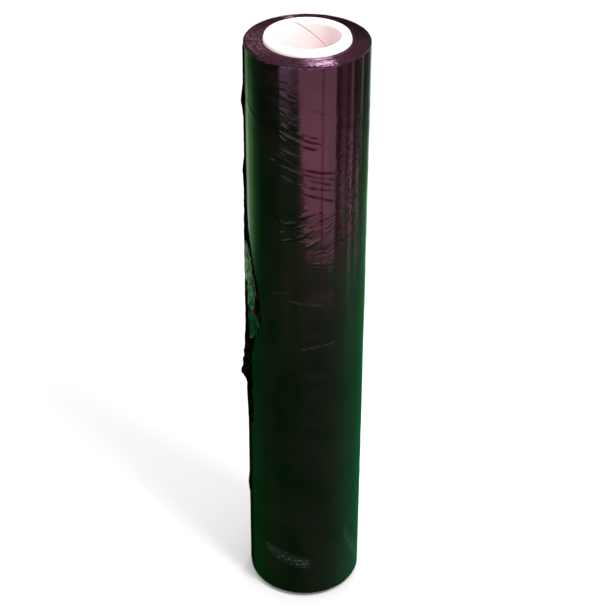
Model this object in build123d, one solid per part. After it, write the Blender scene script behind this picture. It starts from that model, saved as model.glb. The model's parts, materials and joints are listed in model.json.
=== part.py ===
from build123d import *
import math
import os

# Hand roll of dark stretch film: a paper core, and the film wound on it, with its torn tail loose down one side.
# The roll stands on the lower end of its core. Z runs up the core's axis, the origin is on that axis at the
# lower end, and the front of the roll faces -Y. Lengths are in millimetres. Angles are in degrees round the
# roll from its front, positive towards +X.

# Paper core
BORE_DIAMETER = 50.0
CORE_WALL = 7.5
CORE_STUB = 3.3  # core that stands out of the film at each end
RIM_BEVEL = 0.8  # outer edge of the cut rims, rubbed down

# Wound film
FILM_WIDTH = 500.0
FILM_BUILD = 14.2  # radial depth of all the turns
WINDING_GAP = 0.1  # between the core and the first turn
CORNER_ROUND = 1.5  # the outer turns slump at both ends of the roll
CORNER_STEPS = 3
TURN_BAND = 2.0  # bands of turns that show on the ends
TURN_RISE = 0.4  # a band's crown above the valleys beside it

# Loose tail: the torn end of the last turn
TAIL_PLY = 0.6  # crumpled film, several layers thick
TAIL_LIFT = 6.0  # the crumpled peak stands this far off the roll
TAIL_MARGIN = 4.0  # from both ends of the film
TAIL_ROOT_SINK = 0.5  # the tail's root lies this far under the last turn
TAIL_ROOT_ANGLE = -130.0  # where the tail still lies tight
TAIL_BACK_ANGLE = -112.0
TAIL_SIDE_ANGLE = -96.0
TAIL_BACK_SHARE = 0.25  # lift at the back angle, of the lift at the side angle

# The torn edge, from the bottom of the tail to its top. Each row is a share of the tail's height, the angle
# of the edge there, and the lift at the side angle and at the edge as shares of TAIL_LIFT.
TAIL_ROWS = [
    (0.000, -88, 0.03, 0.03),
    (0.150, -88, 0.04, 0.04),
    (0.173, -82, 0.27, 0.26),
    (0.195, -86, 0.05, 0.05),
    (0.300, -80, 0.09, 0.06),
    (0.331, -67, 0.20, 0.24),
    (0.366, -70, 0.35, 0.20),
    (0.396, -79, 0.55, 0.42),
    (0.406, -75, 0.72, 0.62),
    (0.415, -84, 1.00, 0.95),
    (0.424, -77, 0.78, 0.90),
    (0.433, -82, 0.86, 0.68),
    (0.446, -74, 0.60, 0.66),
    (0.470, -78, 0.55, 0.50),
    (0.494, -72, 0.50, 0.33),
    (0.514, -61, 0.42, 0.10),
    (0.535, -50, 0.46, 0.08),
    (0.553, -47, 0.52, 0.14),
    (0.575, -51, 0.54, 0.62),
    (0.602, -54, 0.52, 0.66),
    (0.624, -58, 0.48, 0.40),
    (0.648, -61, 0.36, 0.16),
    (0.673, -64, 0.44, 0.22),
    (0.698, -68, 0.32, 0.11),
    (0.724, -71, 0.36, 0.14),
    (0.758, -75, 0.22, 0.10),
    (0.789, -80, 0.40, 0.34),
    (0.815, -82, 0.11, 0.08),
    (0.885, -84, 0.06, 0.05),
    (0.911, -82, 0.40, 0.37),
    (0.937, -87, 0.06, 0.05),
    (1.000, -88, 0.03, 0.03),
]

# Creases in the outer turns
CREASE_WIDTH = 2.4
CREASE_RISE = 0.4
CREASE_ROOT = 0.5  # a crease's foot lies this far under the last turn
CREASE_STEP = 6.0  # angle between a crease's sections

# Each row is the angle of a crease's left end and its height as a share of the film's width, then the same
# two for its right end.
CREASE_ROWS = [
    (-25, 0.934, -1, 0.922),
    (-67, 0.916, -35, 0.892),
    (-25, 0.894, -1, 0.878),
    (1, 0.890, 16, 0.874),
    (-24, 0.868, -6, 0.852),
    (-23, 0.844, -3, 0.830),
    (-40, 0.836, -30, 0.828),
    (-1, 0.838, 28, 0.824),
    (-26, 0.820, -1, 0.802),
    (1, 0.810, 28, 0.796),
    (1, 0.796, 28, 0.778),
    (-20, 0.744, -3, 0.764),
    (8, 0.748, 30, 0.760),
    (-13, 0.720, 9, 0.736),
    (4, 0.708, 24, 0.712),
    (-4, 0.516, 31, 0.530),
]

core_inner = BORE_DIAMETER / 2
core_outer = core_inner + CORE_WALL
core_length = FILM_WIDTH + 2 * CORE_STUB
film_inner = core_outer + WINDING_GAP
film_outer = film_inner + FILM_BUILD
film_bottom = CORE_STUB
film_top = film_bottom + FILM_WIDTH


def at(angle, radius, z):
    """Point at an angle round the roll."""
    turn = math.radians(angle)
    return Vector(radius * math.sin(turn), -radius * math.cos(turn), z)


def paper_core():
    """Paper tube, with the outer edge of each cut rim rubbed down."""
    middle = Pos((core_inner + core_outer) / 2, core_length / 2)
    wall = Plane.XZ * middle * Rectangle(CORE_WALL, core_length)
    outer_corners = wall.vertices().group_by(Axis.X)[-1]
    return revolve(chamfer(outer_corners, RIM_BEVEL), Axis.Z)


def film_end(end, inward):
    """Section of one end of the film, from the core out: valleys and crowns of its bands, then the corner."""
    valley = end + inward * TURN_RISE
    face = FILM_BUILD - CORNER_ROUND
    count = max(1, round(face / TURN_BAND))
    pitch = face / count
    points = []
    for i in range(count):
        start = film_inner + i * pitch
        points.append((start, 0, valley))
        points.append((start + pitch / 2, 0, end))
    for i in range(CORNER_STEPS + 1):
        turn = math.radians(90 * i / CORNER_STEPS)
        radius = film_outer - CORNER_ROUND * (1 - math.sin(turn))
        points.append((radius, 0, valley + inward * CORNER_ROUND * (1 - math.cos(turn))))
    return points


def wound_film():
    """All the turns as one solid of revolution."""
    bottom = film_end(film_bottom, 1)
    top = film_end(film_top, -1)
    section = Face(Wire.make_polygon([*bottom, *reversed(top)]))
    return revolve(section, Axis.Z)


def tail_section(height, edge_angle, side_share, edge_share):
    """The loose tail in section at one height, from its root under the last turn to its torn edge."""
    z = film_bottom + TAIL_MARGIN + height * (FILM_WIDTH - 2 * TAIL_MARGIN)
    side_lift = side_share * TAIL_LIFT
    edge_lift = edge_share * TAIL_LIFT
    stations = [
        (TAIL_ROOT_ANGLE, -TAIL_ROOT_SINK),
        (TAIL_BACK_ANGLE, TAIL_BACK_SHARE * side_lift),
        (TAIL_SIDE_ANGLE, side_lift),
        ((TAIL_SIDE_ANGLE + edge_angle) / 2, (side_lift + edge_lift) / 2),
        (edge_angle, edge_lift),
    ]
    outer = [at(angle, film_outer + lift, z) for angle, lift in stations]
    inner = [at(angle, film_outer + lift - TAIL_PLY, z) for angle, lift in stations]
    torn_edge = Line(outer[-1], inner[-1])
    root = Line(inner[0], outer[0])
    return Wire([Spline(*outer), torn_edge, Spline(*reversed(inner)), root])


def loose_tail():
    """The tail as flat-sided crumples between its sections."""
    return Solid.make_loft([tail_section(*row) for row in TAIL_ROWS], ruled=True)


def crease(left_angle, left_height, right_angle, right_height):
    """A low ridge round the roll that fades out at both ends."""
    steps = max(4, round((right_angle - left_angle) / CREASE_STEP))
    foot = film_outer - CREASE_ROOT
    sections = []
    for i in range(steps + 1):
        along = i / steps
        angle = left_angle + along * (right_angle - left_angle)
        height = left_height + along * (right_height - left_height)
        z = film_bottom + height * FILM_WIDTH
        crown = foot + CREASE_ROOT / 2 + (CREASE_RISE + CREASE_ROOT / 2) * math.sin(math.pi * along)
        low_foot = at(angle, foot, z - CREASE_WIDTH / 2)
        high_foot = at(angle, foot, z + CREASE_WIDTH / 2)
        sections.append(Wire.make_polygon([low_foot, at(angle, crown, z), high_foot]))
    return Solid.make_loft(sections, ruled=True)


def stretch_film():
    """The wound turns, with the tail and the creases that belong to the last of them."""
    creases = [crease(*row) for row in CREASE_ROWS]
    return wound_film().fuse(loose_tail(), *creases)


os.makedirs("parts", exist_ok=True)
export_step(paper_core(), "parts/paper_core.step")
export_step(stretch_film(), "parts/stretch_film.step")
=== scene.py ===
import json
import math

import bpy
import numpy as np
from mathutils import Matrix, Vector


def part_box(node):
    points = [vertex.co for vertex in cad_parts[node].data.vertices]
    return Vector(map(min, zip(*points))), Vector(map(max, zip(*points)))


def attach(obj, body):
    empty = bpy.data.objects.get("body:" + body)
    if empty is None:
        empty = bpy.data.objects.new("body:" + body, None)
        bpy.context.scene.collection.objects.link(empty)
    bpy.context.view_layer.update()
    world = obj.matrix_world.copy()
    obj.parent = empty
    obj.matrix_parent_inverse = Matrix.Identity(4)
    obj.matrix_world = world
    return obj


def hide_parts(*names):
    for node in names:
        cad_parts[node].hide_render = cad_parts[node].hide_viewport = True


# A hand roll of dark stretch film on a white paper core, standing on end, with its torn tail loose down
# one side. Lengths are in millimetres and become metres when a mesh is made. Heights are above the film's
# lower end. Angles are in degrees round the roll from its front, which faces -Y, positive towards +X.

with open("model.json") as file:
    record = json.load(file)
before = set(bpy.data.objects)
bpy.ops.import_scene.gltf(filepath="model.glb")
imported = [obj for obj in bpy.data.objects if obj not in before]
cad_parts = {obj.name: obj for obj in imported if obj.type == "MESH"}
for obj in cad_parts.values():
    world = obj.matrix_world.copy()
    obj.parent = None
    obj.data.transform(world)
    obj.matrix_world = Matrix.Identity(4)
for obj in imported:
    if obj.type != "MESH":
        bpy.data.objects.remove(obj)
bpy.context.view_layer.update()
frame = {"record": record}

MM = 0.001
GRIP_GAP = 0.1  # between the core and the first turn, as in the solids

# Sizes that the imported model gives
core_box = [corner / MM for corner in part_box("paper_core")]
film_box = [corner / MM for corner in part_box("stretch_film")]
mounts = {mount["name"]: mount for mount in frame["record"]["mounts"]}
core_inner = mounts["core_bore"]["dims"]["r_mm"]
core_outer = core_box[1].x
core_top = core_box[1].z
film_outer = film_box[1].x
film_bottom = film_box[0].z
film_top = film_box[1].z
film_inner = core_outer + GRIP_GAP
film_width = film_top - film_bottom

# Camera
CAMERA_BACK = 1104.5
CAMERA_UP = 1002.5
CAMERA_PITCH = 33.463
CAMERA_YAW = 0.036
CAMERA_ROLL = 0.325
CAMERA_LENS = 97.59
CAMERA_SENSOR = 36.0

# Mesh of the wound film: stretches of angle and of height with the step inside each
COLUMNS = [
    (-97, -75, 2.75),
    (-75, -45, 1.8),
    (-45, -31, 1.1),
    (-31, 27, 0.8),
    (27, 64, 0.9),
    (64, 263, 6.6),
]
SIDE_ROWS = [
    (3, 15, 4.0),
    (15, 63, 2.0),
    (63, 249, 6.0),
    (249, 267, 1.5),
    (267, 317, 5.0),
    (317, 494, 0.55),
    (494, 497, 1.5),
]
INNER_MARGIN = 40.0
INNER_ROWS = 6

# Ends of the wound film: a rounded, ragged corner, and bands of turns that each have a crown
CORNER_ROUND = 0.9
CORNER_ROWS = 8
CORNER_RAG = 0.17
RAG_DEPTH = 2.5
TURN_BAND = 2.1
TURN_RISE = 0.65
TURN_SLUMP = (0.90, 1.0)
TURN_UNEVEN = 0.1
TURN_CROWN = 0.15
TURN_LIP = 0.02
FRAY = 0.008
FRAY_TURN = 2.6
FRAY_DEPTH = 0.7
RAG_TURN = 7.0
WORN_ANGLE = -80.0
WORN_REACH = 35.0
WORN_EXTRA = 14.0
LOW_END_SEED = 3
TOP_END_SEED = 4

# Raised creases: angle and height of the left end, the same for the right end, then the rise
STROKES = [
    (-78, 462, -44, 444, 0.16),
    (-24, 475, -10, 471, 0.06),
    (-25, 465, -18, 462, 0.07),
    (-24, 452, -16, 449, 0.10),
    (-11, 448, -2, 444, 0.10),
    (-27, 447, -5, 439, 0.12),
    (-26, 443, -17, 438, 0.10),
    (-25, 433, -6, 427, 0.07),
    (-38, 423, -27, 420, 0.090),
    (-41, 419, -30, 413, 0.090),
    (-27, 419, -6, 414, 0.070),
    (-18, 417, -3, 413, 0.070),
    (-28, 412, -3, 403, 0.080),
    (-27, 408, -2, 401, 0.080),
    (-21, 373, -11, 380, 0.100),
    (-30, 369, -20, 373, 0.095),
    (-25, 367, -10, 375, 0.105),
    (-19, 369, -6, 374, 0.100),
    (-36, 366, -25, 370, 0.110),
    (-17, 365, -1, 371, 0.105),
    (-30, 361, -15, 365, 0.100),
    (-7, 375, 1, 380, 0.090),
    (-14, 356, 9, 368, 0.100),
    (-26, 354, -10, 359, 0.100),
    (-40, 358, -29, 361, 0.115),
    (2, 352, 11, 358, 0.085),
    (-44, 351, -32, 355, 0.120),
    (-4, 258, 33, 262, 0.03),
    (67, 382, 78, 383, 0.10),
]
STROKE_WIDTH = 0.9
STROKE_TAPER = 0.9
STROKE_SEED = 200

# Scored creases across the lit front: the same places, then how strong
SCORES = [
    (-2, 469, 26, 458, 0.4),
    (-6, 447, 14, 442, 0.9),
    (-7, 443, 14, 437, 1.1),
    (-8, 438, 10, 433, 1.2),
    (-8, 418, 29, 412, 1.2),
    (-6, 414, 29, 407, 1.0),
    (0, 410, 29, 402, 0.9),
    (-5, 404, 29, 397, 1.2),
    (-5, 398, 29, 388, 1.3),
    (11, 381, 15, 381, 1.2),
    (-7, 375, 10, 380, 1.0),
    (11, 374, 15, 374, 1.2),
    (12, 373, 29, 378, 1.0),
    (1, 368, 15, 371, 0.7),
    (13, 346, 28, 348, 0.8),
]
SCORE_WIDTH = 1.1
SCORE_TAPER = 0.4
SCORE_DEPTH = 0.012
SCORE_SEED = 300

# How a crease wanders: swing, length of one swing and seed, then the same for its strength, and its mean
CROOKS = [(0.6, 8.0, 0), (0.2, 2.0, 25)]
STRENGTH_SWING = (0.4, 3.0, 50)
STRENGTH_MEAN = 0.85

# Patches of crinkled film: angles, heights, slope of the crinkles, their length, spacing and rise
CRINKLES = [
    ((-27, -8), (468, 497), -12, 9.0, 3.0, 0.05),
    ((-28, -5), (428, 480), -28, 4.5, 1.6, 0.042),
    ((-27, -4), (430, 470), -14, 4.0, 1.7, 0.040),
    ((-44, -3), (392, 436), -26, 14.0, 4.0, 0.05),
    ((-42, 2), (346, 388), 24, 6.0, 1.9, 0.085),
    ((-2, 30), (338, 384), 20, 12.0, 3.4, 0.03),
    ((6, 30), (322, 346), 3, 12.0, 3.6, 0.03),
    ((-54, -26), (336, 402), -25, 5.0, 3.0, 0.12),
    ((28, 62), (345, 474), 90, 6.0, 2.8, 0.025),
    ((28, 62), (342, 462), 60, 3.5, 2.4, 0.015),
    ((70, 255), (15, 485), -14, 45.0, 16.0, 0.22),
]
CREST = 1.5
PATCH_SEEDS = 10
LATTICE = 64

# Low waves all round the side: how many, the range of their lengths, and height as a share of length
WAVES = 9
WAVE_LENGTHS = (9, 45)
WAVE_HEIGHT = 0.00012
WAVE_SEED = 7

# The torn tail, from its bottom up: share of its height, angle of its edge, the lift of its middle and of
# its edge as shares of the highest lift, and the angle where the fold under the edge meets the roll
TAIL_ROWS = [
    (0.000, -85, 0.05, 0.08, -83.5),
    (0.150, -85, 0.05, 0.08, -83.5),
    (0.173, -82, 0.27, 0.26, -79),
    (0.195, -84, 0.08, 0.10, -82.5),
    (0.315, -80, 0.10, 0.10, -77),
    (0.331, -71, 0.14, 0.14, -64.7),
    (0.350, -73, 0.20, 0.22, -63.4),
    (0.378, -76, 0.26, 0.28, -64.6),
    (0.392, -71, 0.20, 0.15, -70),
    (0.402, -82, 0.45, 0.45, -65),
    (0.409, -86, 0.85, 0.85, -66),
    (0.413, -82, 1.00, 0.95, -67),
    (0.422, -86, 0.70, 0.75, -67.5),
    (0.434, -80, 0.62, 0.60, -68),
    (0.446, -86, 0.45, 0.55, -68),
    (0.466, -84, 0.40, 0.45, -68),
    (0.482, -80, 0.42, 0.45, -64),
    (0.494, -74, 0.36, 0.36, -62),
    (0.506, -60, 0.40, 0.12, -58.8),
    (0.520, -55, 0.42, 0.05, -54.6),
    (0.540, -51, 0.44, 0.05, -50.4),
    (0.550, -51.6, 0.44, 0.12, -47.2),
    (0.555, -53.3, 0.44, 0.30, -48.9),
    (0.563, -55.9, 0.44, 0.46, -50),
    (0.583, -53.2, 0.42, 0.36, -50.4),
    (0.602, -54.5, 0.40, 0.24, -53),
    (0.618, -57.3, 0.38, 0.18, -56),
    (0.642, -61.7, 0.36, 0.14, -59.7),
    (0.665, -66.4, 0.34, 0.12, -64.7),
    (0.697, -73, 0.30, 0.11, -71.3),
    (0.724, -77, 0.26, 0.12, -75),
    (0.758, -80.5, 0.22, 0.13, -79),
    (0.789, -82, 0.34, 0.28, -80),
    (0.815, -83.5, 0.12, 0.13, -82),
    (0.885, -84, 0.10, 0.13, -82.5),
    (0.911, -83, 0.40, 0.36, -80.5),
    (0.937, -84.5, 0.10, 0.13, -83),
    (1.000, -85, 0.05, 0.10, -83.5),
]
TAIL_LIFT = 6.0
TAIL_MARGIN = 4.0
TAIL_ROOT = -130
TAIL_ROOT_SINK = 0.5
TAIL_BACK = -112
TAIL_BACK_SHARE = 0.10
TAIL_SIDE = -96
TAIL_SIDE_SHARE = 0.40
TAIL_PLY = 0.12
TAIL_STEP = 0.8
TAIL_CLEAR = 0.14
LOOSE_LIFT = 3.0
TUFT_HEIGHT = 220.0
TUFT_REACH = 17.0
TUFT_LIFT = 1.5

# Jags of the tail's edge: degrees, length and seed
JAGS = [(1.0, 9, 11), (0.5, 3, 12)]

# Zones of the tail's material: angles in degrees, heights above the floor in metres
# Pockets of the fold painted dark red as a reflection
POCKET_REFLECTIONS = [((-61, -54), (0.281, 0.292)), ((-76, -70), (0.2415, 0.2435))]
# Painted shade on the tail, near black without gloss: its fade towards the back, the front edge of its
# strip, the tuft
SHADE_FADE = (-122, -90)
SHADE_STRIP_EDGE = (-69, -66)
TUFT_HEIGHTS = (0.199, 0.245)
# Strokes painted pale as highlights and teal as backlit green: their zone, and the heights where the teal
# turns pale
HIGHLIGHT_ANGLES = (-92, -50)
HIGHLIGHT_HEIGHTS = (0.252, 0.330)
# Heights where the painted shade of the strip is eased
SHADE_EASED_HEIGHTS = (0.306, 0.331)
PALE_HEIGHTS = (0.285, 0.315)
# Heights above which the tail is painted in shade
UPPER_SHADE_HEIGHTS = (0.328, 0.338)

# Zones of the side's material, in the same measures
RUBBED_ANGLES = (29, 61)
RUBBED_HEIGHTS = (0.35, 0.465)
# Angles where the ends' mauve, partly a painted reflection, is painted down over the side's top edge
EDGE_REFLECTION_ANGLES = (-46, 36)

# Zones of the ends' material: angles, and depths under the outermost turn
SCUFFED_ANGLES = (-110, -55)
SHADED_ANGLES = (92, 150)
# Angles where the ends are painted in shade
FRONT_ANGLES = (-42, 68)
LAST_TURNS = (2.6, 1.2)

# Scratches in the gloss: angle and height of one end and of the other
SCRATCHES = [
    (-4.4, 257.9, 32.8, 262.5),
    (-32.7, 306.1, -16.1, 309.8),
    (-16.1, 302.5, -0.8, 300.1),
    (-0.8, 300.1, 17.3, 298.8),
]
SCRATCH_WIDTH = 0.0017

# Angles of the dark lines in the rubbed zone
RUBBED_LINES = [(28.5, 32.5), (42.0, 44.0), (51.0, 53.0)]

# Scuffed bands low on the roll, whose pale specks are painted glints of small wrinkles: angle and height
# of both ends, and half the width
SCUFF_GLINT_BANDS = [((-44, 45, 6, 34), 0.009), ((46, 58, 72, 18), 0.014)]

# Inner ply of the core: its butt joint climbs the bore as a helix
SEAM_ANGLE = 170.0
SEAM_HEIGHT = 495.6
SEAM_PITCH = 122.0
SEAM_WIDTH = 0.9
SEAM_DEPTH = 0.7
SEAM_SHARES = [-1.6, -0.55, -0.5, 0.5, 0.55, 1.6]
RIM_BEVEL = 0.8
RIM_FRAY = 0.12
RIM_ROWS = 12
CORE_COLUMNS = 96
CORE_ROWS = 190
CORE_SEED = 5

# Refraction of the film's side and of its ends
FILM_IOR = 1.52
TURNS_IOR = 1.55

# Mauve bronzing of the film in its reflections: on its side, where creased, on its tail and on its ends
BRONZE = (1.0, 0.32, 0.55, 1.0)
CREASE_BRONZE = (0.5, 0.43, 0.36, 1.0)
TAIL_BRONZE = (1.0, 0.86, 0.71, 1.0)
END_BRONZE = (1.0, 0.42, 0.82, 1.0)

# Slopes of a crease's upper flank at which its bronzing starts to fade and is gone
CREASED = (0.008, 0.030)

# What the film mirrors, by direction: azimuth from and to, elevation from and to, softness of the two, how
# far the first edge leans with elevation, and the light. A card shows on the roll at half its azimuth.
CARDS = [
    ((-51, -31), (-26.3, -24.3), (3.5, 0.7), 0.0, (1.6, 2.3, 2.4)),
    ((-31, -15.5), (-26.0, -24.3), (1.5, 0.7), 0.0, (1.3, 1.5, 1.7)),
    ((-62, -15.5), (-24.0, -11.0), (3.0, 0.6), 0.0, (1.3, 1.3, 1.3)),
    ((-62, -15.5), (-19.5, -11.0), (3.0, 1.5), 0.0, (0.9, 0.9, 0.9)),
    ((-100, -62), (-24.0, -11.0), (3.0, 0.6), 0.0, (1.2, 1.2, 1.2)),
    ((-145, -100), (-22.0, -12.0), (8.0, 2.0), 0.0, (0.80, 0.67, 0.70)),
    ((-15.5, 27.0), (-31.1, -4.0), (1.0, 0.5), 3.6, (1.9, 1.9, 1.9)),
    ((30.8, 54.2), (-31.4, -4.0), (1.2, 0.5), 0.0, (1.9, 1.9, 1.95)),
    ((-12.0, 40.0), (-30.6, -26.8), (10.0, 1.0), 0.0, (0.75, 0.50, 0.50)),
    ((27.2, 30.6), (-28.2, -4.0), (0.8, 0.8), 0.0, (1.2, 0.8, 1.0)),
    ((26.2, 31.2), (-32.6, -28.2), (0.7, 0.8), 0.0, (0.45, 0.12, 0.28)),
    ((-12, 105), (-34.5, -31.5), (8.0, 1.0), 0.0, (0.10, 0.20, 0.10)),
    ((-48, -8), (-34.5, -29.5), (10.0, 1.5), 0.0, (0.10, 0.18, 0.08)),
    ((55.5, 64.5), (-31.6, -4.0), (1.2, 0.8), 0.0, (0.45, 0.02, 0.28)),
    ((64.5, 77.0), (-29.1, -4.0), (1.5, 0.6), 0.0, (0.68, 0.36, 0.55)),
    ((64.5, 77.0), (-30.0, -29.1), (1.5, 0.6), 0.0, (1.85, 1.90, 1.90)),
    ((62.0, 80.0), (-31.2, -30.0), (2.0, 0.5), 0.0, (0.50, 0.55, 0.45)),
    ((77.5, 83.5), (-30.6, -4.0), (1.0, 0.8), 0.0, (0.45, 0.10, 0.25)),
    ((86.0, 93.0), (-28.0, -4.0), (1.0, 0.8), 0.0, (1.05, 0.70, 0.80)),
    ((84.0, 94.5), (-31.0, -28.0), (1.2, 0.8), 0.0, (1.75, 1.20, 1.50)),
    ((85.0, 92.0), (-32.3, -31.0), (1.0, 0.5), 0.0, (0.45, 0.60, 0.40)),
    ((95.0, 103.0), (-31.0, -4.0), (1.0, 0.8), 0.0, (0.15, 0.03, 0.06)),
    ((103.5, 113.0), (-30.2, -28.7), (1.2, 0.6), 0.0, (1.15, 1.05, 1.05)),
    ((104.0, 113.0), (-32.2, -30.2), (1.2, 0.6), 0.0, (0.33, 0.36, 0.28)),
    ((103.5, 113.0), (-28.7, -4.0), (1.2, 0.6), 0.0, (0.12, 0.10, 0.10)),
    ((115.0, 122.5), (-28.4, -4.0), (1.5, 0.8), 0.0, (0.50, 0.50, 0.50)),
    ((114.0, 124.0), (-32.5, -28.4), (2.0, 0.8), 0.0, (0.12, 0.05, 0.06)),
    ((124.0, 140.0), (-33.0, -4.0), (5.0, 3.0), 0.0, (0.04, 0.05, 0.03)),
    ((138.0, 156.0), (-33.0, -4.0), (6.0, 3.0), 0.0, (0.08, 0.08, 0.06)),
    ((158, 172), (-33.0, -4.0), (5.0, 4.0), 0.0, (0.42, 0.66, 0.46)),
    ((150, 168), (-30.6, -4.0), (4.0, 1.2), 0.0, (0.16, 0.22, 0.18)),
    ((-151, -137), (-32.2, -4.0), (5.0, 0.8), 0.0, (0.24, 0.28, 0.24)),
    ((-151, -137), (-32.2, -26.3), (5.0, 1.3), 0.0, (0.24, 0.28, 0.22)),
    ((-150, -120), (-32.2, -4.0), (9.0, 0.9), 0.0, (0.06, 0.18, 0.06)),
    ((-150, -118), (-32.2, -26.3), (10.0, 1.3), 0.0, (0.14, 0.26, 0.14)),
    ((-140, -104), (-32.4, -25.6), (14.0, 1.6), 0.0, (0.04, 0.26, 0.05)),
    ((10, 105), (-90, -31.5), (40.0, 1.5), 0.0, (0.07, 0.26, 0.09)),
    ((70, 170), (-90, -28.0), (40.0, 4.0), 0.0, (0.025, 0.26, 0.09)),
    ((-140, -95), (-90, -25.0), (16.0, 4.0), 0.0, (0.003, 0.10, 0.015)),
    ((-95, 10), (-90, -28.0), (30.0, 2.0), 0.0, (0.02, 0.18, 0.03)),
    ((95, 170), (-21, -3), (6.0, 2.0), 0.0, (1.3, 1.3, 1.3)),
    ((-180, 180), (0, 90), (0.0, 2.0), 0.0, (0.08, 0.08, 0.08)),
    ((-180, 180), (56, 90), (0.0, 16.0), 0.0, (0.28, 0.26, 0.30)),
]
LEAN_FROM = -26.4
SOFT_WHITE = (0.97, 0.97, 0.97, 1)
BLACK = (0, 0, 0, 1)

# Soft lamps: name, direction from the roll's upper end, distance and size in metres, and power
LAMPS = [
    ("key", (0.45, -0.45, 0.77), 1.3, 0.40, 15.0),
    ("top", (0.125, 0.495, 0.860), 1.2, 0.13, 4.0),
]
FLOOR_REACH = 12.0

# Sockets of a colour mix node, whose names its other data types use too
MIX_FIRST = 6
MIX_SECOND = 7
MIX_RESULT = 2


class Graph:
    """Adds nodes to one shader tree. An input is a socket of another node or a plain value."""

    def __init__(self, tree):
        self.tree = tree
        tree.nodes.clear()

    def add(self, kind, inputs=None, **settings):
        node = self.tree.nodes.new(kind)
        for name, value in settings.items():
            setattr(node, name, value)
        for key, value in (inputs or {}).items():
            self.set(node.inputs[key], value)
        return node

    def set(self, socket, value):
        if isinstance(value, bpy.types.NodeSocket):
            self.tree.links.new(value, socket)
        else:
            socket.default_value = value

    def math(self, operation, *values):
        return self.add("ShaderNodeMath", dict(enumerate(values)), operation=operation).outputs[0]

    def smooth(self, value, low, high, to_low=0.0, to_high=1.0):
        inputs = {"Value": value, "From Min": low, "From Max": high, "To Min": to_low, "To Max": to_high}
        return self.add("ShaderNodeMapRange", inputs, interpolation_type="SMOOTHSTEP").outputs[0]

    def within(self, value, low, high, soft):
        rise = self.smooth(value, low - soft, low + soft)
        return self.math("MULTIPLY", rise, self.smooth(value, high + soft, high - soft))

    def mix(self, share, first, second, blend="MIX"):
        node = self.add("ShaderNodeMix", data_type="RGBA", blend_type=blend)
        self.set(node.inputs["Factor"], share)
        self.set(node.inputs[MIX_FIRST], first)
        self.set(node.inputs[MIX_SECOND], second)
        return node.outputs[MIX_RESULT]

    def noise(self, vector, scale, detail=3.0, roughness=0.5):
        inputs = {"Vector": vector, "Scale": scale, "Detail": detail, "Roughness": roughness}
        return self.add("ShaderNodeTexNoise", inputs).outputs["Fac"]

    def stretched(self, vector, factors):
        return self.add("ShaderNodeMapping", {"Vector": vector, "Scale": factors}).outputs[0]

    def bump(self, height, distance, normal=None):
        inputs = {"Height": height, "Distance": distance, "Strength": 1.0}
        if normal is not None:
            inputs["Normal"] = normal
        return self.add("ShaderNodeBump", inputs).outputs[0]

    def round_roll(self, place):
        """Angle round the roll in degrees, radius and height of a place."""
        x, y, z = self.add("ShaderNodeSeparateXYZ", {0: place}).outputs
        angle = self.math("DEGREES", self.math("ARCTAN2", x, self.math("MULTIPLY", y, -1.0)))
        flat = self.add("ShaderNodeCombineXYZ", {0: x, 1: y}).outputs[0]
        radius = self.add("ShaderNodeVectorMath", {0: flat}, operation="LENGTH").outputs["Value"]
        return angle, radius, z


def ring_point(angle, radius, z):
    """Points at an angle round the roll, as an array with x, y and z last."""
    turn, radius, z = np.broadcast_arrays(np.radians(angle), radius, z)
    return np.stack([radius * np.sin(turn), -radius * np.cos(turn), z], axis=-1)


def make_mesh(name, points, closed, materials, row_slot=None):
    """A piece from a grid of points in millimetres. A closed grid joins up both ways."""
    rows, columns = points.shape[:2]
    index = np.arange(rows * columns).reshape(rows, columns)
    if closed:
        index = np.vstack([index, index[:1]])
        index = np.hstack([index, index[:, :1]])
    quads = np.stack([index[:-1, :-1], index[:-1, 1:], index[1:, 1:], index[1:, :-1]], axis=-1)
    mesh = bpy.data.meshes.new(name)
    mesh.from_pydata((points.reshape(-1, 3) * MM).tolist(), [], quads.reshape(-1, 4).tolist())
    for material in materials:
        mesh.materials.append(material)
    if row_slot is not None:
        face_slot = np.repeat(row_slot, quads.shape[1]).astype(np.int32)
        mesh.polygons.foreach_set("material_index", face_slot)
    mesh.polygons.foreach_set("use_smooth", np.ones(len(mesh.polygons), bool))
    mesh.update()
    piece = bpy.data.objects.new(name, mesh)
    bpy.context.scene.collection.objects.link(piece)
    return piece


def steps(stretches):
    """Places along stretches that each have a step of their own."""
    return np.concatenate([np.arange(first, last - 1e-6, step) for first, last, step in stretches])


def lattice_noise(x, y, seed):
    """Smooth noise between -1 and 1, about one swell for each unit of x and of y."""
    table = np.random.default_rng(seed).uniform(-1, 1, (LATTICE, LATTICE))
    column, row = np.floor(x).astype(int), np.floor(y).astype(int)
    across, up = x - column, y - row
    across = across * across * (3 - 2 * across)
    up = up * up * (3 - 2 * up)
    left, right = column % LATTICE, (column + 1) % LATTICE
    low, high = row % LATTICE, (row + 1) % LATTICE
    under = table[low, left] * (1 - across) + table[low, right] * across
    over = table[high, left] * (1 - across) + table[high, right] * across
    return under * (1 - up) + over * up


def crease_line(angle, height, ends, taper, seed):
    """Distance from a crooked crease in millimetres, and its strength, which fades out at both ends."""
    left_angle, left_height, right_angle, right_height = ends
    across = np.radians(angle - left_angle) * film_outer
    run = math.radians(right_angle - left_angle) * film_outer
    fall = right_height - left_height
    length = math.hypot(run, fall)
    along = (across * run + (height - left_height) * fall) / length**2
    aside = (across * fall - (height - left_height) * run) / length
    for swing, reach, shift in CROOKS:
        aside = aside + swing * lattice_noise(along * length / reach, 0 * along, seed + shift)
    strength = np.sin(math.pi * np.clip(along, 0, 1)) ** taper
    swing, reach, shift = STRENGTH_SWING
    uneven = STRENGTH_MEAN + swing * lattice_noise(along * length / reach, 0 * along, seed + shift)
    return aside, strength * uneven


def inside(value, limits, soft, wander):
    """1 inside two limits, falling to 0 over a soft border that wanders."""
    low, high = limits
    return np.clip(np.minimum(value - low, high - value) / soft + wander, 0, 1)


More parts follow.
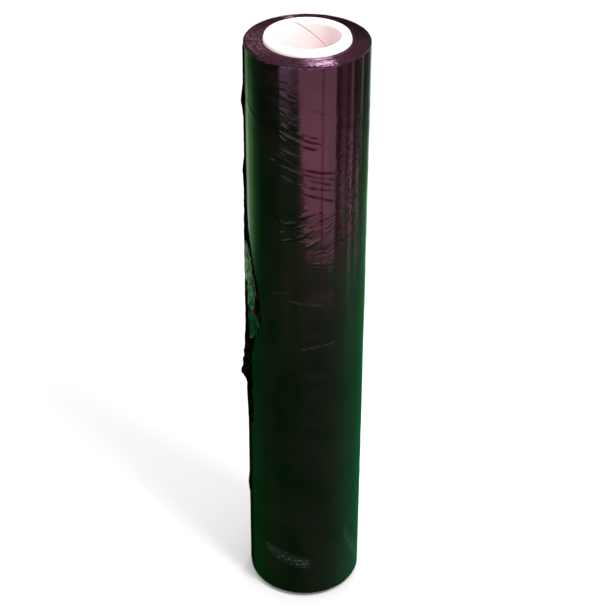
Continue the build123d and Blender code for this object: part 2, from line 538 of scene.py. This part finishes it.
def crinkle(angle, height, patch, seed):
    """Relief of one patch of crinkled film: sharp crooked creases inside a ragged border."""
    angles, heights, slope, length, spacing, rise = patch
    tilt = math.radians(slope)
    across = np.radians(angle) * film_outer
    along = (across * math.cos(tilt) + height * math.sin(tilt)) / length
    aside = (height * math.cos(tilt) - across * math.sin(tilt)) / spacing
    aside = aside + 0.5 * lattice_noise(along * 1.7, aside * 0.6, seed)
    crease = (1 - np.abs(lattice_noise(along, aside, seed + 1))) ** CREST
    strength = np.clip(0.7 + 1.1 * lattice_noise(along * 0.8, aside * 0.4, seed + 2), 0, 1)
    wander = 0.8 * lattice_noise(across / 6, height / 6, seed + 3)
    border = inside(angle, angles, 4, wander) * inside(height, heights, 9, wander)
    return rise * crease * strength * border


def wrinkles(angle, height):
    """Relief of the film's outer surface, and how much it is scored."""
    angle, height = np.broadcast_arrays(angle, height)
    relief = np.zeros(angle.shape)
    scored = np.zeros(angle.shape)
    for seed, (*ends, rise) in enumerate(STROKES, STROKE_SEED):
        aside, strength = crease_line(angle, height, ends, STROKE_TAPER, seed)
        relief += rise * strength * np.exp(-((aside / STROKE_WIDTH) ** 2))
    for seed, (*ends, share) in enumerate(SCORES, SCORE_SEED):
        aside, strength = crease_line(angle, height, ends, SCORE_TAPER, seed)
        scored = np.maximum(scored, share * strength * np.exp(-((aside / SCORE_WIDTH) ** 2)))
    relief -= SCORE_DEPTH * scored
    for seed, patch in enumerate(CRINKLES):
        relief += crinkle(angle, height, patch, PATCH_SEEDS * seed)
    draw = np.random.default_rng(WAVE_SEED)
    for _ in range(WAVES):
        length = draw.uniform(*WAVE_LENGTHS)
        turns = draw.integers(-2, 3)
        phase = draw.uniform(0, 2 * math.pi)
        wave = np.sin(2 * math.pi * height / length + np.radians(angle) * turns + phase)
        relief += WAVE_HEIGHT * length * wave
    return relief, scored


def film_end(angle, seed):
    """Radius of one end of the film, and its depth under the crowns. The outer turns slump the most."""
    face = film_outer - CORNER_ROUND - film_inner
    count = round(face / TURN_BAND)
    crown = [TURN_CROWN - TURN_LIP, TURN_CROWN, TURN_CROWN + TURN_LIP]
    share = np.array([0, TURN_LIP, *crown, 0.55, 1 - TURN_LIP])
    radius = (film_inner + face / count * (np.arange(count)[:, None] + share)).ravel()
    outwards = (share - TURN_CROWN) / (1 - TURN_CROWN)
    slope = np.where(share < TURN_CROWN, 1 - share / TURN_CROWN, outwards)
    uneven = np.random.default_rng(seed).uniform(-TURN_UNEVEN, TURN_UNEVEN, count)
    rise = TURN_RISE * (np.linspace(*TURN_SLUMP, count) + uneven)
    depth = (rise[:, None] * slope).ravel()
    turn = np.radians(np.linspace(0, 90, CORNER_ROWS + 1))
    radius = np.concatenate([radius, film_outer - CORNER_ROUND * (1 - np.sin(turn))])
    depth = np.concatenate([depth, TURN_RISE / 2 + CORNER_ROUND * (1 - np.cos(turn))])
    worn = 1 + WORN_EXTRA * np.exp(-(((angle - WORN_ANGLE) / WORN_REACH) ** 2))
    frayed = lattice_noise(angle[None, :] / FRAY_TURN, radius[:, None] / FRAY_DEPTH, seed)
    rough = FRAY * worn * frayed
    fine = lattice_noise(angle / FRAY_TURN, 0 * angle, seed)
    broad = lattice_noise(angle / RAG_TURN, 0 * angle, seed + 1)
    rag = CORNER_RAG * (fine + broad) / 2
    near_corner = np.clip(1 + (radius[:, None] - film_outer + CORNER_ROUND) / RAG_DEPTH, 0, 1)
    return radius, np.maximum(depth[:, None] + rough + rag * near_corner, 0)


def film_roll(side_material, end_material):
    """All the turns as one closed skin: lower end, side, upper end and the wall round the core."""
    angle = steps(COLUMNS)
    low_radius, low_depth = film_end(angle, LOW_END_SEED)
    top_radius, top_depth = film_end(angle, TOP_END_SEED)
    corner = TURN_RISE / 2 + CORNER_ROUND + CORNER_RAG
    side_height = np.concatenate([[corner], steps(SIDE_ROWS), [film_width - corner]])
    relief, scored = wrinkles(angle[None, :], side_height[:, None])
    inner_height = np.linspace(film_width - INNER_MARGIN, INNER_MARGIN, INNER_ROWS)
    flat = np.ones(len(angle))
    inner = np.full((len(inner_height), len(angle)), film_inner)
    radius = [low_radius[:, None] * flat, film_outer + relief, top_radius[::-1, None] * flat, inner]
    height = [low_depth, side_height[:, None] * flat]
    height += [film_width - top_depth[::-1], inner_height[:, None] * flat]
    points = ring_point(angle[None, :], np.vstack(radius), film_bottom + np.vstack(height))
    row_slot = np.ones(len(points), np.int32)
    first = len(low_radius) - 1
    row_slot[first : first + len(side_height) + 1] = 0
    piece = make_mesh("film_roll", points, True, [side_material, end_material], row_slot)
    slope = -np.gradient(relief, side_height, axis=0)
    creased = np.clip((slope - CREASED[0]) / (CREASED[1] - CREASED[0]), 0, 1)
    for name, values in (("score", scored), ("crease", creased)):
        layer = np.zeros(points.shape[:2], np.float32)
        layer[len(low_radius) : len(low_radius) + len(side_height)] = values
        attribute = piece.data.attributes.new(name, "FLOAT", "POINT")
        attribute.data.foreach_set("value", layer.ravel())
    return piece


def crumple(across, height, scale, seed):
    """Sharp facets from crossed triangle waves, from about -1 to 1."""
    draw = np.random.default_rng(seed)
    count = 6
    relief = np.zeros(np.broadcast(across, height).shape)
    for _ in range(count):
        heading = draw.uniform(0, math.pi)
        length = scale * draw.uniform(0.6, 1.7)
        phase = (across * math.cos(heading) + height * math.sin(heading)) / length
        phase = phase + draw.uniform(0, 1)
        relief += (4 * np.abs(phase % 1 - 0.5) - 1) * 1.8 / count
    return relief


def film_tail(material, fold_material):
    """The torn end of the last turn: a thin sheet, tight at its root, lifted and folded at its edge."""
    share, edge, middle_lift, edge_lift, foot = np.array(TAIL_ROWS, float).T
    height = np.arange(TAIL_MARGIN, film_width - TAIL_MARGIN, TAIL_STEP)
    at = (height - TAIL_MARGIN) / (film_width - 2 * TAIL_MARGIN)
    torn = sum(swing * crumple(0, height, length, seed) for swing, length, seed in JAGS)
    edge = np.interp(at, share, edge) + torn
    foot = np.interp(at, share, foot) + torn
    middle_lift = np.interp(at, share, middle_lift) * TAIL_LIFT
    edge_lift = np.interp(at, share, edge_lift) * TAIL_LIFT
    sheet = np.concatenate([np.linspace(0, 0.3, 8), np.linspace(0.33, 1, 42)])
    fold = np.linspace(1, 2, 19)[1:]
    along = np.concatenate([sheet, fold])
    angle = np.empty((len(along), len(height)))
    lift = np.empty_like(angle)
    for i in range(len(height)):
        middle = (TAIL_SIDE + edge[i]) / 2
        stops = [TAIL_ROOT, TAIL_BACK, TAIL_SIDE, middle, edge[i]]
        back_lift = TAIL_BACK_SHARE * middle_lift[i]
        side_lift = TAIL_SIDE_SHARE * middle_lift[i]
        lifts = [-TAIL_ROOT_SINK, back_lift, side_lift, middle_lift[i], edge_lift[i]]
        angle[:, i] = np.interp(along, [0, 1, 2], [TAIL_ROOT, edge[i], foot[i]])
        sheet_lift = np.interp(angle[:, i], stops, lifts)
        lift[:, i] = np.where(along > 1, (2 - along) * edge_lift[i], sheet_lift)
    down = np.clip(along - 1, 0, 1)[:, None]
    across = np.radians(angle) * film_outer + down * edge_lift
    loose = np.clip(lift, 0, LOOSE_LIFT) / LOOSE_LIFT
    tuft = np.exp(-(((height - TUFT_HEIGHT) / TUFT_REACH) ** 2))
    tuft = tuft * np.clip(lift, 0, TUFT_LIFT) / TUFT_LIFT
    relief = crumple(across, height, 15, 21) * (0.03 + 0.25 * loose)
    relief = relief + crumple(across, height, 5, 22) * 0.12 * loose
    matted = crumple(across, height, 7, 23) + 0.4 * crumple(across, height, 3, 24)
    relief = relief + matted * 0.9 * tuft
    angle = angle + np.degrees(relief / film_outer) * down * 0.8
    lift = lift + relief
    lift = np.where(along[:, None] > 0.35, np.maximum(lift, TAIL_CLEAR), lift)
    points = ring_point(angle, film_outer + lift, film_bottom + height)[:, ::-1]
    row_slot = (along[:-1] >= 1).astype(np.int32)
    piece = make_mesh("film_tail", points, False, [material, fold_material], row_slot)
    solid = piece.modifiers.new("ply", "SOLIDIFY")
    solid.thickness = TAIL_PLY * MM
    solid.offset = -1
    return piece


def core_tube(material):
    """Paper tube whose columns follow the inner ply's helix, so that its butt joint is a real groove."""
    draw = np.random.default_rng(CORE_SEED)
    near_seam = np.degrees(np.array(SEAM_SHARES) * SEAM_WIDTH / core_inner)
    around = np.linspace(near_seam[-1], 360 + near_seam[0], CORE_COLUMNS)[1:-1]
    column = np.concatenate([near_seam, around])
    wall_z = np.linspace(0, core_top, CORE_ROWS)
    rim = np.linspace(core_inner, core_outer - RIM_BEVEL, RIM_ROWS)[1:]
    plies = draw.uniform(0, RIM_FRAY, len(rim))
    outside = np.full(len(wall_z) - 2, core_outer)
    radius = np.concatenate([np.full(len(wall_z), core_inner), rim, outside, rim[::-1]])
    z = np.concatenate([wall_z, core_top - plies, wall_z[-2:0:-1], plies[::-1]])
    turn = SEAM_ANGLE + (z - SEAM_HEIGHT) / SEAM_PITCH * 360
    grid_radius = radius[:, None] + np.zeros(len(column))
    grid_radius[: len(wall_z), 2:4] += SEAM_DEPTH
    points = ring_point(turn[:, None] + column[None, :], grid_radius, z[:, None])
    return make_mesh("core_tube", points, True, [material])


def new_material(name):
    """A material with its graph, its shader and the place on the piece."""
    material = bpy.data.materials.new(name)
    material.use_nodes = True
    graph = Graph(material.node_tree)
    output = graph.add("ShaderNodeOutputMaterial")
    shader = graph.add("ShaderNodeBsdfPrincipled")
    graph.set(output.inputs["Surface"], shader.outputs[0])
    place = graph.add("ShaderNodeTexCoord").outputs["Object"]
    return material, graph, shader, place


def streak(graph, angle, z, ends, width):
    """How much of one straight streak is at a place, from 0 to 1."""
    first_angle, first_height, last_angle, last_height = ends
    inputs = {"Value": angle, "From Min": first_angle, "From Max": last_angle}
    inputs["To Min"] = (film_bottom + first_height) * MM
    inputs["To Max"] = (film_bottom + last_height) * MM
    line = graph.add("ShaderNodeMapRange", inputs).outputs[0]
    aside = graph.math("ABSOLUTE", graph.math("SUBTRACT", z, line))
    mark = graph.smooth(aside, width, 0.0)
    return graph.math("MULTIPLY", mark, graph.within(angle, first_angle, last_angle, 2.0))


def film_side_material():
    """Dark green film: glossy, bronzed in its reflections, scratched, rubbed on the right, scuffed low
    down with pale specks painted as glints, and with the ends' mauve, partly a painted reflection, painted
    over its top edge.
    """
    material, graph, shader, place = new_material("film_gloss")
    angle, _, z = graph.round_roll(place)
    tone = graph.smooth(graph.noise(graph.stretched(place, (30, 30, 22)), 1.0, 3.0, 0.6), 0.35, 0.65)
    colour = graph.mix(tone, (0.0006, 0.0026, 0.0010, 1), (0.0032, 0.0044, 0.0026, 1))
    worn = 0.0
    for scratch in SCRATCHES:
        worn = graph.math("MAXIMUM", worn, streak(graph, angle, z, scratch, SCRATCH_WIDTH))
    patchy = graph.smooth(graph.noise(place, 260.0, 2.0), 0.35, 0.6)
    colour = graph.mix(graph.math("MULTIPLY", worn, patchy), colour, (0.015, 0.015, 0.012, 1))
    specks = graph.noise(graph.stretched(place, (480, 480, 620)), 1.0, 5.0, 0.75)
    cover = graph.smooth(patchy, 0.0, 1.0, 0.6, 1.0)
    # Scuffed bands: slightly paler film, with pale specks painted as glints of small wrinkles.
    for ends, width in SCUFF_GLINT_BANDS:
        band = graph.math("MULTIPLY", streak(graph, angle, z, ends, width), cover)
        colour = graph.mix(band, colour, (0.008, 0.012, 0.010, 1))
        scuffed = graph.math("MULTIPLY", band, graph.smooth(specks, 0.56, 0.72))
        colour = graph.mix(scuffed, colour, (0.20, 0.24, 0.21, 1))
    # Mauve painted in drips over the side's top edge: the ends' colour, partly a painted reflection.
    uneven = graph.math("MULTIPLY", graph.noise(place, 190.0, 4.0, 0.65), 0.010)
    uneven = graph.math("ADD", z, uneven)
    edge_reflection = graph.smooth(uneven, (film_top + 2.5) * MM, (film_top + 3.7) * MM)
    edge_reflection = graph.math("MULTIPLY", edge_reflection, graph.within(angle, *EDGE_REFLECTION_ANGLES, 10.0))
    colour = graph.mix(edge_reflection, colour, (0.055, 0.022, 0.038, 1))
    rubbed = graph.within(angle, *RUBBED_ANGLES, 4.0)
    rubbed = graph.math("MULTIPLY", rubbed, graph.within(z, *RUBBED_HEIGHTS, 0.02))
    beads = graph.noise(graph.stretched(place, (430, 430, 330)), 1.0, 3.0, 0.6)
    lines = graph.noise(graph.stretched(place, (420, 420, 14)), 1.0, 2.0, 0.5)
    pits = graph.math("ADD", beads, lines)
    for first, last in RUBBED_LINES:
        line = graph.math("MULTIPLY", graph.within(angle, first, last, 1.0), 0.12)
        pits = graph.math("ADD", pits, line)
    pits = graph.smooth(pits, 1.05, 1.15)
    score = graph.add("ShaderNodeAttribute", attribute_name="score").outputs["Fac"]
    score = graph.math("MAXIMUM", score, graph.math("MULTIPLY", pits, rubbed))
    colour = graph.mix(score, colour, (0.017, 0.0016, 0.007, 1))
    graph.set(shader.inputs["Specular IOR Level"], graph.smooth(score, 0.0, 0.9, 0.5, 0.07))
    graph.set(shader.inputs["Base Color"], colour)
    smear = graph.noise(graph.stretched(place, (30, 30, 160)), 1.0, 4.0)
    graph.set(shader.inputs["Roughness"], graph.smooth(smear, 0.3, 0.75, 0.07, 0.13))
    mottle = graph.noise(graph.stretched(place, (300, 300, 230)), 1.0, 3.0, 0.65)
    mottle = graph.math("MULTIPLY", mottle, graph.smooth(rubbed, 0.0, 1.0, 0.7, 3.5))
    drawn = graph.noise(graph.stretched(place, (520, 520, 9)), 1.0, 2.0)
    normal = graph.bump(mottle, 0.00003)
    normal = graph.bump(drawn, 0.00002, normal)
    graph.set(shader.inputs["Normal"], normal)
    crease = graph.add("ShaderNodeAttribute", attribute_name="crease").outputs["Fac"]
    graph.set(shader.inputs["Specular Tint"], graph.mix(crease, BRONZE, CREASE_BRONZE))
    shader.inputs["IOR"].default_value = FILM_IOR
    return material


def film_end_material():
    """Edges of the turns: satin, in fine rings, scuffed pale on the tail's side, dark mauve-brown that is
    partly their own tint and partly a painted reflection, with painted shade on the back right.
    """
    material, graph, shader, place = new_material("film_turns")
    angle, radius, _ = graph.round_roll(place)
    # Dark mauve-brown base: partly the film's own tint, partly a painted reflection of the surroundings.
    tone = graph.noise(place, 160.0, 4.0, 0.6)
    shade = graph.mix(tone, (0.009, 0.002, 0.004, 1), (0.048, 0.015, 0.027, 1))
    flecks = graph.smooth(graph.noise(place, 520.0, 5.0, 0.7), 0.42, 0.72)
    scuffs = graph.math("MULTIPLY", graph.within(angle, *SCUFFED_ANGLES, 18.0), flecks)
    shade = graph.mix(scuffs, shade, (0.20, 0.090, 0.100, 1))
    # Painted shade on the back right of the ends.
    shaded = graph.within(angle, *SHADED_ANGLES, 14.0)
    shade = graph.mix(shaded, shade, (0.010, 0.003, 0.004, 1))
    first, last = [(film_outer - depth) * MM for depth in LAST_TURNS]
    last_turns = graph.smooth(radius, first, last)
    in_front = graph.within(angle, *FRONT_ANGLES, 14.0)
    last_turns = graph.math("MULTIPLY", last_turns, graph.math("SUBTRACT", 1.0, in_front))
    graph.set(shader.inputs["Base Color"], graph.mix(last_turns, shade, (0.008, 0.007, 0.005, 1)))
    graph.set(shader.inputs["Roughness"], graph.smooth(tone, 0.3, 0.7, 0.08, 0.14))
    rings = {"W": radius, "Scale": 2600.0, "Detail": 2.0}
    ring = graph.add("ShaderNodeTexNoise", rings, noise_dimensions="1D").outputs["Fac"]
    normal = graph.bump(ring, 0.00007)
    graph.set(shader.inputs["Normal"], graph.bump(graph.noise(place, 900.0, 3.0), 0.00001, normal))
    shader.inputs["IOR"].default_value = TURNS_IOR
    shader.inputs["Specular Tint"].default_value = END_BRONZE
    return material


def film_tail_material():
    """A few plies of the same film: crinkled and greener, with strokes painted pale as highlights and teal
    as backlit green, and painted shade, near black without gloss, with painted grey glints.
    """
    material, graph, shader, place = new_material("film_tail")
    angle, _, z = graph.round_roll(place)
    tone = graph.noise(place, 120.0, 3.0)
    uneven = graph.smooth(graph.noise(place, 190.0, 3.0), 0.3, 0.7, -0.008, 0.008)
    ragged = graph.math("ADD", z, uneven)
    # Painted shade, near black without gloss, on the tuft, along the left edge and over the top, eased
    # where the strokes are.
    tuft = graph.within(ragged, *TUFT_HEIGHTS, 0.005)
    stretched = graph.within(ragged, *SHADE_EASED_HEIGHTS, 0.012)
    facing = graph.smooth(angle, *SHADE_FADE)
    shade_strip = graph.math("MULTIPLY", facing, graph.smooth(angle, *SHADE_STRIP_EDGE, 1.0, 0.0))
    shade_strip = graph.math("MULTIPLY", shade_strip, graph.smooth(stretched, 0.0, 1.0, 1.0, 0.25))
    upper = graph.smooth(ragged, *UPPER_SHADE_HEIGHTS, 0.0, 0.9)
    painted_shade = graph.math("MULTIPLY", graph.math("MAXIMUM", tuft, upper), facing)
    painted_shade = graph.math("MAXIMUM", painted_shade, shade_strip)
    # Pale strokes painted as highlights, teal lower down as painted backlit green.
    strokes = graph.noise(graph.stretched(place, (420, 420, 90)), 1.0, 3.0, 0.6)
    highlight_zone = graph.within(angle, *HIGHLIGHT_ANGLES, 3.0)
    highlight_zone = graph.math("MULTIPLY", highlight_zone, graph.within(ragged, *HIGHLIGHT_HEIGHTS, 0.012))
    patchy = graph.smooth(graph.noise(place, 95.0, 2.0), 0.36, 0.60, 0.15, 1.0)
    highlight_zone = graph.math("MULTIPLY", highlight_zone, patchy)
    painted_highlight = graph.math("MULTIPLY", highlight_zone, graph.smooth(strokes, 0.44, 0.68))
    paler = graph.smooth(ragged, *PALE_HEIGHTS)
    pale = graph.mix(paler, (0.016, 0.085, 0.042, 1), (0.120, 0.170, 0.105, 1))
    colour = graph.mix(tone, (0.0006, 0.003, 0.0015, 1), (0.002, 0.011, 0.005, 1))
    colour = graph.mix(painted_highlight, colour, pale)
    # Grey glints painted on the painted shade as the crumples' highlights.
    glints = graph.smooth(graph.noise(place, 230.0, 3.0, 0.6), 0.53, 0.63)
    glints = graph.math("MULTIPLY", glints, graph.smooth(tuft, 0.0, 1.0, 0.12, 1.0))
    shade_and_glints = graph.mix(glints, (0.0003, 0.0006, 0.0004, 1), (0.005, 0.006, 0.005, 1))
    graph.set(shader.inputs["Base Color"], graph.mix(painted_shade, colour, shade_and_glints))
    graph.set(shader.inputs["Specular IOR Level"], graph.smooth(painted_shade, 0.0, 1.0, 0.5, 0.0))
    graph.set(shader.inputs["Roughness"], graph.smooth(tone, 0.3, 0.7, 0.08, 0.18))
    graph.set(shader.inputs["Normal"], graph.bump(strokes, 0.00035))
    shader.inputs["IOR"].default_value = FILM_IOR
    shader.inputs["Specular Tint"].default_value = TAIL_BRONZE
    return material


def film_fold_material():
    """The underside of the torn tail, painted as shade: nearly black crumples with painted grey glints,
    and two pockets painted dark red as a reflection.
    """
    material, graph, shader, place = new_material("film_fold")
    angle, _, z = graph.round_roll(place)
    tone = graph.smooth(graph.noise(place, 230.0, 3.0, 0.6), 0.53, 0.63)
    # Near black painted as shade, with grey glints painted as highlights.
    colour = graph.mix(tone, (0.0002, 0.0003, 0.0002, 1), (0.006, 0.006, 0.006, 1))
    # Dark red painted into the two pockets as a reflection.
    for angles, heights in POCKET_REFLECTIONS:
        painted_pocket_reflection = graph.within(angle, *angles, 2.0)
        painted_pocket_reflection = graph.math("MULTIPLY", painted_pocket_reflection, graph.within(z, *heights, 0.004))
        colour = graph.mix(painted_pocket_reflection, colour, (0.026, 0.0006, 0.004, 1))
    graph.set(shader.inputs["Base Color"], colour)
    graph.set(shader.inputs["Roughness"], graph.smooth(tone, 0.0, 1.0, 0.35, 0.55))
    graph.set(shader.inputs["Normal"], graph.bump(graph.noise(place, 500.0, 3.0), 0.00015))
    shader.inputs["Specular IOR Level"].default_value = 0.004
    return material


def core_material():
    """White uncoated paper with short fibres, warmer on the inner ply, with painted shade on the floor of
    its seam's groove.
    """
    material, graph, shader, place = new_material("core_paper")
    _, radius, z = graph.round_roll(place)
    fibre = graph.noise(graph.stretched(place, (180, 180, 60)), 1.0, 5.0, 0.6)
    outside = graph.mix(fibre, (0.88, 0.79, 0.775, 1), (0.94, 0.86, 0.85, 1))
    bore = graph.mix(fibre, (0.91, 0.77, 0.76, 1), (0.94, 0.82, 0.815, 1))
    in_bore = graph.smooth(radius, (core_inner + 0.4) * MM, (core_inner + 0.1) * MM)
    colour = graph.mix(in_bore, outside, bore)
    # Painted shade on the floor of the seam's groove.
    deepest = (core_inner + SEAM_DEPTH + 0.2) * MM
    groove = graph.within(radius, (core_inner + 0.35) * MM, deepest, 0.0001)
    under_rim = graph.smooth(z, (core_top - 0.2) * MM, (core_top - 0.6) * MM)
    groove = graph.math("MULTIPLY", groove, under_rim)
    graph.set(shader.inputs["Base Color"], graph.mix(groove, colour, (0.42, 0.32, 0.30, 1)))
    graph.set(shader.inputs["Normal"], graph.bump(graph.noise(place, 1400.0, 4.0, 0.6), 0.000025))
    shader.inputs["Roughness"].default_value = 0.85
    return material


def floor_material():
    """Plain matt pale floor."""
    material, _, shader, _ = new_material("floor_pale")
    shader.inputs["Base Color"].default_value = (0.88, 0.88, 0.88, 1)
    shader.inputs["Roughness"].default_value = 1.0
    shader.inputs["Specular IOR Level"].default_value = 0.0
    return material


def card_share(graph, azimuth, elevation, card):
    """How much of one card is in a direction, from 0 to 1."""
    (first, last), (low, high), (soft_azimuth, soft_elevation), lean, _ = card
    share = graph.within(elevation, low, high, soft_elevation)
    if last - first >= 360:
        return share
    half = (last - first) / 2
    turned = graph.math("SUBTRACT", azimuth, (first + last) / 2)
    turned = graph.math("WRAP", turned, 180.0, -180.0)
    left = turned
    if lean:
        drop = graph.math("MAXIMUM", graph.math("SUBTRACT", LEAN_FROM, elevation), 0.0)
        left = graph.math("SUBTRACT", turned, graph.math("MULTIPLY", drop, lean))
    rise = graph.smooth(left, -half - soft_azimuth, -half + soft_azimuth)
    fall = graph.smooth(turned, half + soft_azimuth, half - soft_azimuth)
    return graph.math("MULTIPLY", graph.math("MULTIPLY", share, rise), fall)


def studio_world():
    """Soft white light all round, and for mirror reflections the studio's cards."""
    world = bpy.data.worlds.new("studio")
    bpy.context.scene.world = world
    world.use_nodes = True
    world.cycles.sampling_method = "NONE"
    graph = Graph(world.node_tree)
    direction = graph.add("ShaderNodeTexCoord").outputs["Generated"]
    azimuth, _, up = graph.round_roll(direction)
    elevation = graph.math("DEGREES", graph.math("ARCSINE", up))
    mirrored = BLACK
    for card in CARDS:
        light = graph.mix(card_share(graph, azimuth, elevation, card), BLACK, (*card[-1], 1))
        mirrored = graph.mix(1.0, mirrored, light, "ADD")
    glossy = graph.add("ShaderNodeLightPath").outputs["Is Glossy Ray"]
    light = graph.mix(glossy, SOFT_WHITE, mirrored)
    background = graph.add("ShaderNodeBackground", {"Color": light})
    output = graph.add("ShaderNodeOutputWorld")
    graph.set(output.inputs["Surface"], background.outputs[0])


def floor():
    """A wide flat floor that the film doesn't mirror."""
    reach = FLOOR_REACH
    mesh = bpy.data.meshes.new("floor")
    corners = [(-reach, -reach, 0), (reach, -reach, 0), (reach, reach, 0), (-reach, reach, 0)]
    mesh.from_pydata(corners, [], [(0, 1, 2, 3)])
    mesh.materials.append(floor_material())
    plane = bpy.data.objects.new("floor", mesh)
    bpy.context.scene.collection.objects.link(plane)
    plane.visible_glossy = False


def softbox(name, direction, distance, size, power):
    """A round soft lamp, in a direction from the roll's upper end."""
    light = bpy.data.lights.new(name, "AREA")
    light.shape = "DISK"
    light.size = size
    light.energy = power
    lamp = bpy.data.objects.new(name, light)
    bpy.context.scene.collection.objects.link(lamp)
    towards = Vector(direction).normalized()
    lamp.location = Vector((0, 0, core_top * MM)) + towards * distance
    lamp.rotation_euler = (-towards).to_track_quat("-Z", "Y").to_euler()


def photo_camera():
    """The camera at the photograph's angle."""
    camera = bpy.data.objects.new("camera", bpy.data.cameras.new("camera"))
    bpy.context.scene.collection.objects.link(camera)
    camera.data.lens = CAMERA_LENS
    camera.data.sensor_width = CAMERA_SENSOR
    camera.data.clip_start = 0.01
    yaw = Matrix.Rotation(math.radians(CAMERA_YAW), 4, "Z")
    tilt = Matrix.Rotation(math.radians(90 - CAMERA_PITCH), 4, "X")
    roll = Matrix.Rotation(math.radians(CAMERA_ROLL), 4, "Z")
    stand = Matrix.Translation((0, -CAMERA_BACK * MM, CAMERA_UP * MM))
    camera.matrix_world = stand @ yaw @ tilt @ roll
    bpy.context.scene.camera = camera


def dress(piece, node):
    """Puts a piece in the place of a node's solid."""
    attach(piece, "root")
    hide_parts(node)


dress(film_roll(film_side_material(), film_end_material()), "stretch_film")
dress(film_tail(film_tail_material(), film_fold_material()), "stretch_film")
dress(core_tube(core_material()), "paper_core")

floor()
studio_world()
for lamp in LAMPS:
    softbox(*lamp)
photo_camera()
bpy.context.scene.view_settings.view_transform = "Standard"
